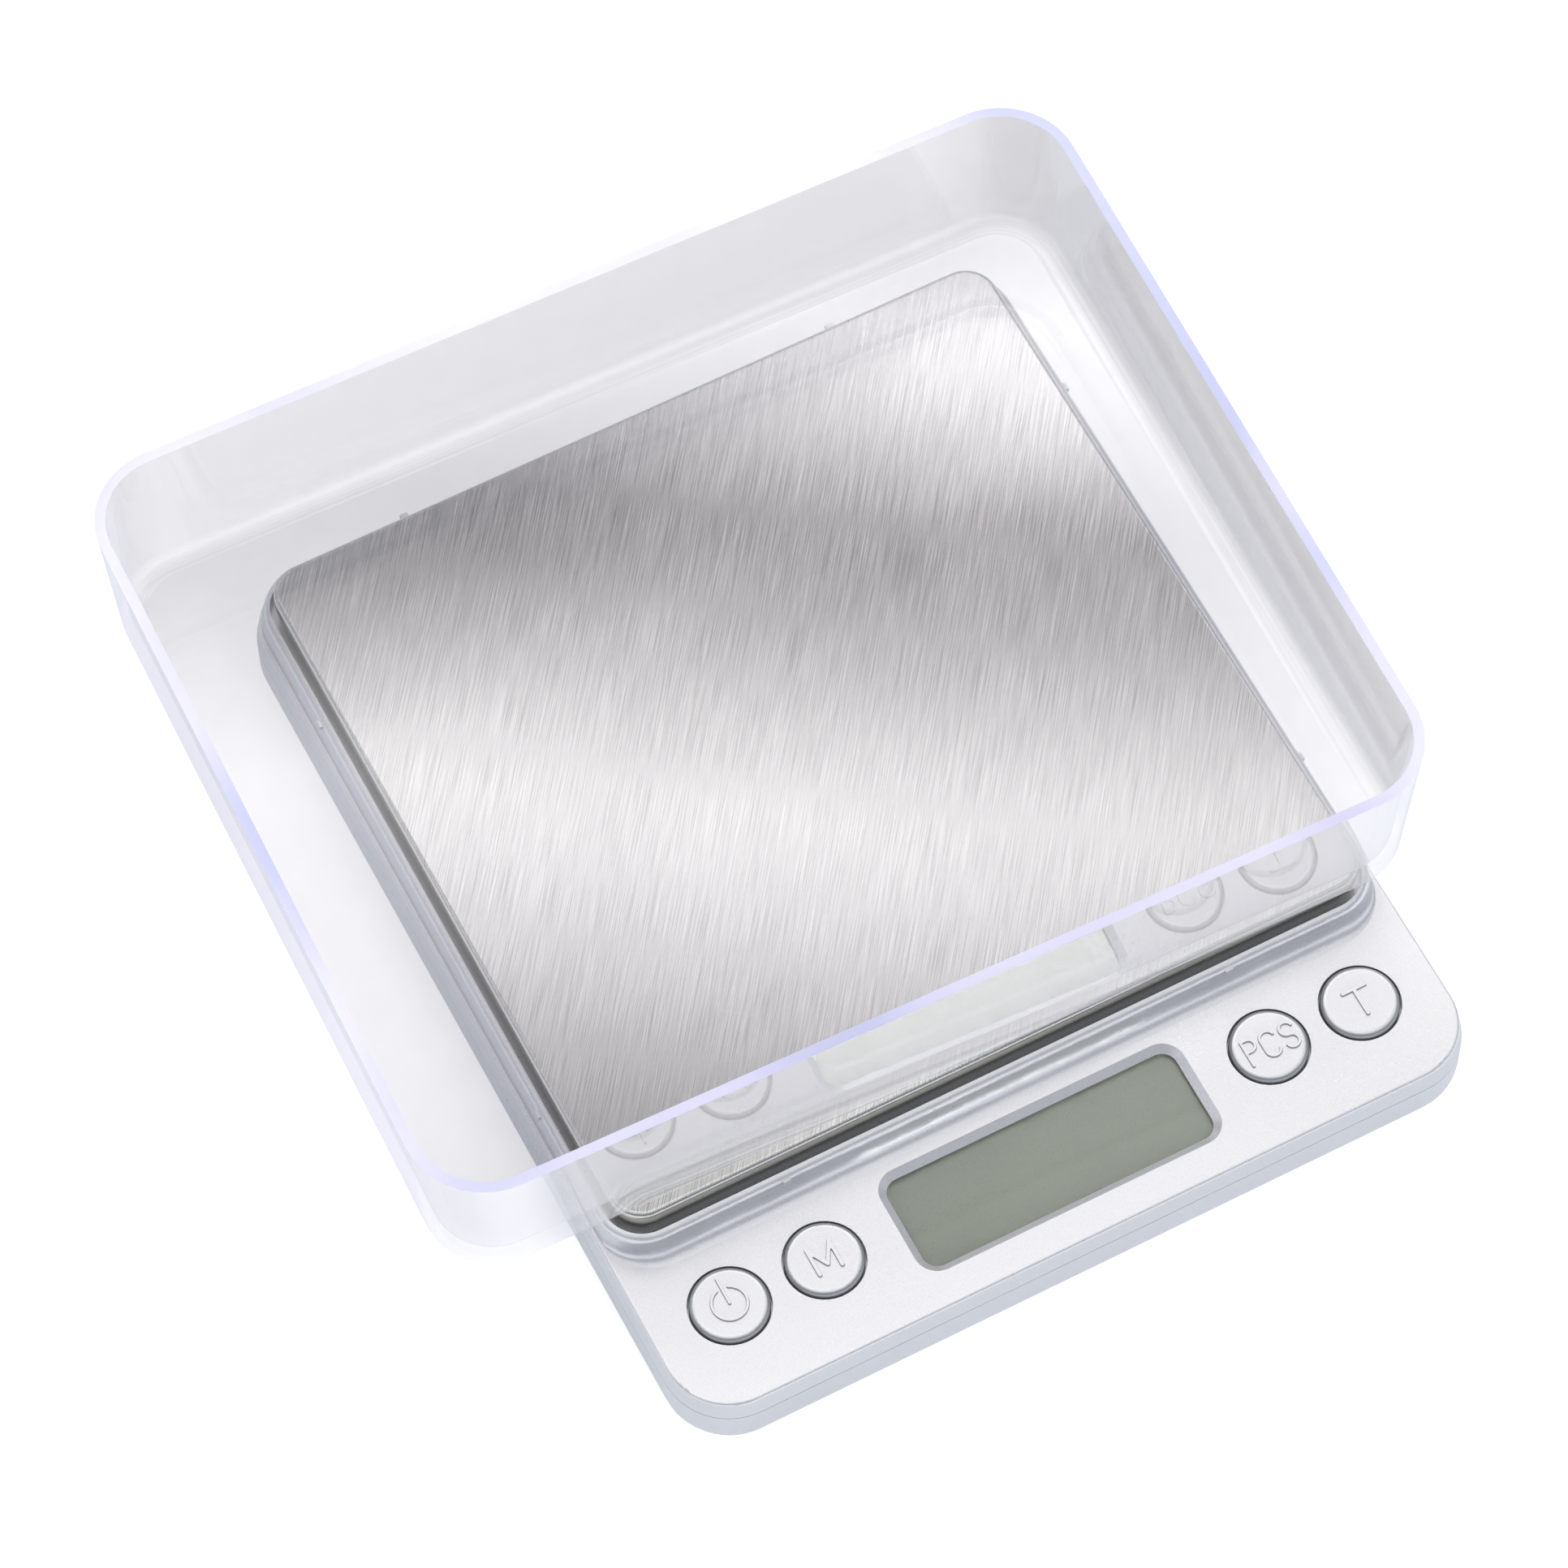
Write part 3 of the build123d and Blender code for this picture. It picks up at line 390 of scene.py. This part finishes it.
# green board: solder mask with copper tracks showing through it
board = Look("board_green", Specular_IOR_Level=0.55)
weave = board.noise(1.0, 2.0, 0.5, board.mapped((700, 60, 60)))
tracks = board.tree.nodes.new("ShaderNodeTexBrick")
tracks.inputs["Scale"].default_value = 160.0
tracks.inputs["Mortar Size"].default_value = 0.035
tracks.inputs["Color1"].default_value = (0.018, 0.150, 0.050, 1.0)
tracks.inputs["Color2"].default_value = (0.022, 0.175, 0.062, 1.0)
tracks.inputs["Mortar"].default_value = (0.060, 0.310, 0.115, 1.0)
board.link(board.place, tracks.inputs["Vector"])
board.put("Base Color", tracks.outputs["Color"])
board.put("Roughness", board.span(weave, 0.3, 0.7, 0.28, 0.42))
board.put("Normal", board.bump(tracks.outputs["Fac"], 0.00003, 0.5))

# cell: plain film with a light band at one end
jacket = Look("cell_jacket", Metallic=0.35, Coat_Weight=0.6, Coat_Roughness=0.12)
run = jacket.split(jacket.place)[0]
band = jacket.ramp(
    jacket.span(run, -0.02, 0.032),
    (0.0, (0.62, 0.62, 0.60)), (0.035, (0.62, 0.62, 0.60)),
    (0.036, (0.035, 0.070, 0.22)), (0.70, (0.035, 0.070, 0.22)),
    (0.701, (0.55, 0.57, 0.60)), (1.0, (0.60, 0.61, 0.62)))
jacket.put("Base Color", band)
jacket.put("Roughness", jacket.span(jacket.noise(1200.0, 3.0), 0.3, 0.7, 0.22, 0.34))
jacket.put("Normal", jacket.bump(jacket.noise(500.0, 3.0), 0.00002, 0.2))

for look, names in (
    (charcoal, ("platform_carrier",)),
    (pad_foam, ("plate_pads",)),
    (rubber, ("rubber_feet", "lcd_connector")),
    (sealant, ("gauge_covers",)),
    (off_white, ("lcd_frame",)),
    (resin, ("chip_cover",)),
    (small_parts, ("board_parts",)),
    (switch_black, ("switch_bodies",)),
    (ivory, ("plunger_power", "plunger_mode", "plunger_pieces", "plunger_tare")),
    (aluminium, ("load_cell",)),
    (zinc, ("board_screws", "base_spacer", "carrier_spacer", "load_cell_base_screws",
            "load_cell_carrier_screws", "overload_screw", "case_screws")),
    (nickel, ("battery_contacts", "battery_springs")),
    (red_wire, ("battery_wires",)),
    (fine_wire, ("gauge_wires",)),
    (board, ("circuit_board",)),
    (jacket, ("battery_1", "battery_2")),
):
    for name in names:
        wear(name, look)

# ---------------------------------------------------------------- floor and light
def plane(name, width, length):
    w, l = width / 2, length / 2
    mesh = bpy.data.meshes.new(name)
    mesh.from_pydata([(-w, -l, 0), (w, -l, 0), (w, l, 0), (-w, l, 0)], [], [(0, 1, 2, 3)])
    thing = bpy.data.objects.new(name, mesh)
    scene.collection.objects.link(thing)
    return thing


floor = plane("floor", 6.0, 6.0)
floor.location.z = -0.1 * MM
paper = Look("floor_paper", Roughness=0.9, Specular_IOR_Level=0.0)
seen = paper.ray("Is Camera Ray")       # pure white to the eye, a soft blue-grey light for the rest
tooth = paper.noise(240.0, 3.0, 0.5)
paper.put("Base Color", paper.ramp(tooth, (0.3, (0.44, 0.44, 0.44)), (0.7, (0.47, 0.47, 0.47))))
paper.put("Emission Color", paper.ramp(seen, (0.0, (0.54, 0.58, 0.66)), (1.0, (1.0, 1.0, 1.0))))
paper.put("Emission Strength", paper.span(seen, 0.0, 1.0, 0.66, 0.70))
below = paper.tree.nodes.new("ShaderNodeNewGeometry").outputs["Backfacing"]
one_way = paper.layer(below, paper.bsdf.outputs[0],     # the underside can be looked at through it
                      paper.closure("ShaderNodeBsdfTransparent").outputs[0])
paper.link(one_way, paper.out.inputs["Surface"])
floor.data.materials.append(paper.material)

# striped diffuser over the scale: soft bright and dark bands across the brushed steel
CARD_X, CARD_Y, CARD_Z = 0.075, 0.2075, 0.34
BAND = math.radians(59.0)                   # direction across the bands, from +X towards +Y
BAND_REACH = 0.14                           # half the width of all the bands
BAND_SHIFT = 0.0625 * math.sin(BAND)
card = plane("diffuser", 0.60, 0.475)
card.location = (CARD_X, CARD_Y, CARD_Z)
card.visible_camera = False
card.visible_transmission = False
stripes = Look("diffuser_glow")
glow = stripes.tree.nodes.new("ShaderNodeEmission")
turned = stripes.mapped((1, 1, 1), (0, 0, -BAND))
wander = stripes.math("MULTIPLY", stripes.math("SUBTRACT", stripes.noise(5.0, 1.0), 0.5), 0.03)
run = stripes.math("ADD", stripes.split(turned)[0], wander)
stripes.link(stripes.ramp(
    stripes.span(run, -BAND_REACH - BAND_SHIFT, BAND_REACH - BAND_SHIFT),
    (0.00, (1.15, 1.15, 1.15)), (0.12, (1.15, 1.15, 1.15)), (0.24, (0.35, 0.35, 0.36)),
    (0.40, (1.35, 1.35, 1.35)), (0.53, (2.30, 2.29, 2.27)), (0.63, (1.25, 1.25, 1.24)),
    (0.73, (0.28, 0.28, 0.29)), (0.80, (1.70, 1.69, 1.68)), (0.87, (3.70, 3.69, 3.66)),
    (1.00, (1.30, 1.30, 1.30))), glow.inputs["Color"])
card_x, card_y = stripes.split(stripes.place)[:2]
corner = stripes.math("MULTIPLY", stripes.span(card_x, 0.030, 0.080),   # dimmer over the panel's right end
                      stripes.span(card_y, -0.110, -0.126))
stripes.link(stripes.span(corner, 0.0, 1.0, 1.0, 0.50), glow.inputs["Strength"])
stripes.link(glow.outputs[0], stripes.out.inputs["Surface"])
card.data.materials.append(stripes.material)


def lamp(name, where, towards, width, length, power):
    """Soft lamp that lights the matt parts only and leaves the reflections alone."""
    data = bpy.data.lights.new(name, "AREA")
    data.shape = "RECTANGLE"
    data.size, data.size_y = width, length
    data.energy = power
    thing = bpy.data.objects.new(name, data)
    scene.collection.objects.link(thing)
    thing.location = where
    thing.rotation_euler = (Vector(towards) - Vector(where)).to_track_quat("-Z", "Y").to_euler()
    thing.visible_camera = False
    thing.visible_glossy = False


lamp("rim", (-0.55, 0.55, 0.75), (0.0, 0.0, 0.0), 0.30, 0.30, 3.0)
lamp("key", (0.10, -0.50, 0.90), (0.0, 0.0, 0.0), 0.40, 0.40, 4.5)
lamp("front", (0.05, -1.0, 0.30), (0.0, 0.0, 0.03), 0.50, 0.30, 6.5)    # for the haze of the walls

# bright up and behind, dark in front at middle heights, pale low in front
LIGHT_SIDE = (0.0, 0.60, 0.80)
SKY_STRENGTH = 0.9
SKY_STOPS = (       # by how far a direction turns towards the light side
    (0.0, (0.25, 0.27, 0.31)), (0.25, (0.26, 0.28, 0.31)), (0.42, (0.62, 0.64, 0.68)),
    (0.70, (0.80, 0.82, 0.86)), (0.85, (1.10, 1.11, 1.15)), (1.0, (1.25, 1.26, 1.29)))
LOW_PALE = (0.82, 0.87, 0.96, 1.0)

world = bpy.data.worlds.new("studio")
scene.world = world
world.use_nodes = True
tree = world.node_tree
tree.nodes.clear()
sky_out = tree.nodes.new("ShaderNodeOutputWorld")
sky = tree.nodes.new("ShaderNodeBackground")
tree.links.new(sky.outputs[0], sky_out.inputs["Surface"])
way = tree.nodes.new("ShaderNodeTexCoord").outputs["Generated"]


def sky_span(value, low, high, to_low, to_high):
    node = tree.nodes.new("ShaderNodeMapRange")
    for i, v in enumerate((low, high, to_low, to_high), 1):
        node.inputs[i].default_value = v
    tree.links.new(value, node.inputs[0])
    return node.outputs[0]


towards_light = tree.nodes.new("ShaderNodeVectorMath")
towards_light.operation = "DOT_PRODUCT"
towards_light.inputs[1].default_value = LIGHT_SIDE
tree.links.new(way, towards_light.inputs[0])
shade = tree.nodes.new("ShaderNodeValToRGB")
marks = shade.color_ramp.elements
while len(marks) < len(SKY_STOPS):
    marks.new(0.5)
for mark, (position, colour) in zip(marks, SKY_STOPS):
    mark.position = position
    mark.color = (*colour, 1.0)
tree.links.new(sky_span(towards_light.outputs["Value"], 0.0, 1.0, 0.0, 1.0), shade.inputs[0])

sides = tree.nodes.new("ShaderNodeSeparateXYZ")
tree.links.new(way, sides.inputs[0])
low_front = tree.nodes.new("ShaderNodeMath")
low_front.operation = "MULTIPLY"
tree.links.new(sky_span(sides.outputs[2], 0.20, 0.36, 1.0, 0.0), low_front.inputs[0])
tree.links.new(sky_span(sides.outputs[1], -0.40, -0.05, 1.0, 0.0), low_front.inputs[1])
pale = tree.nodes.new("ShaderNodeMix")
pale.data_type = "RGBA"
tree.links.new(low_front.outputs[0], pale.inputs["Factor"])
tree.links.new(shade.outputs[0], pale.inputs["A"])
pale.inputs["B"].default_value = LOW_PALE
tree.links.new([o for o in pale.outputs if o.type == "RGBA"][0], sky.inputs["Color"])
sky.inputs["Strength"].default_value = SKY_STRENGTH
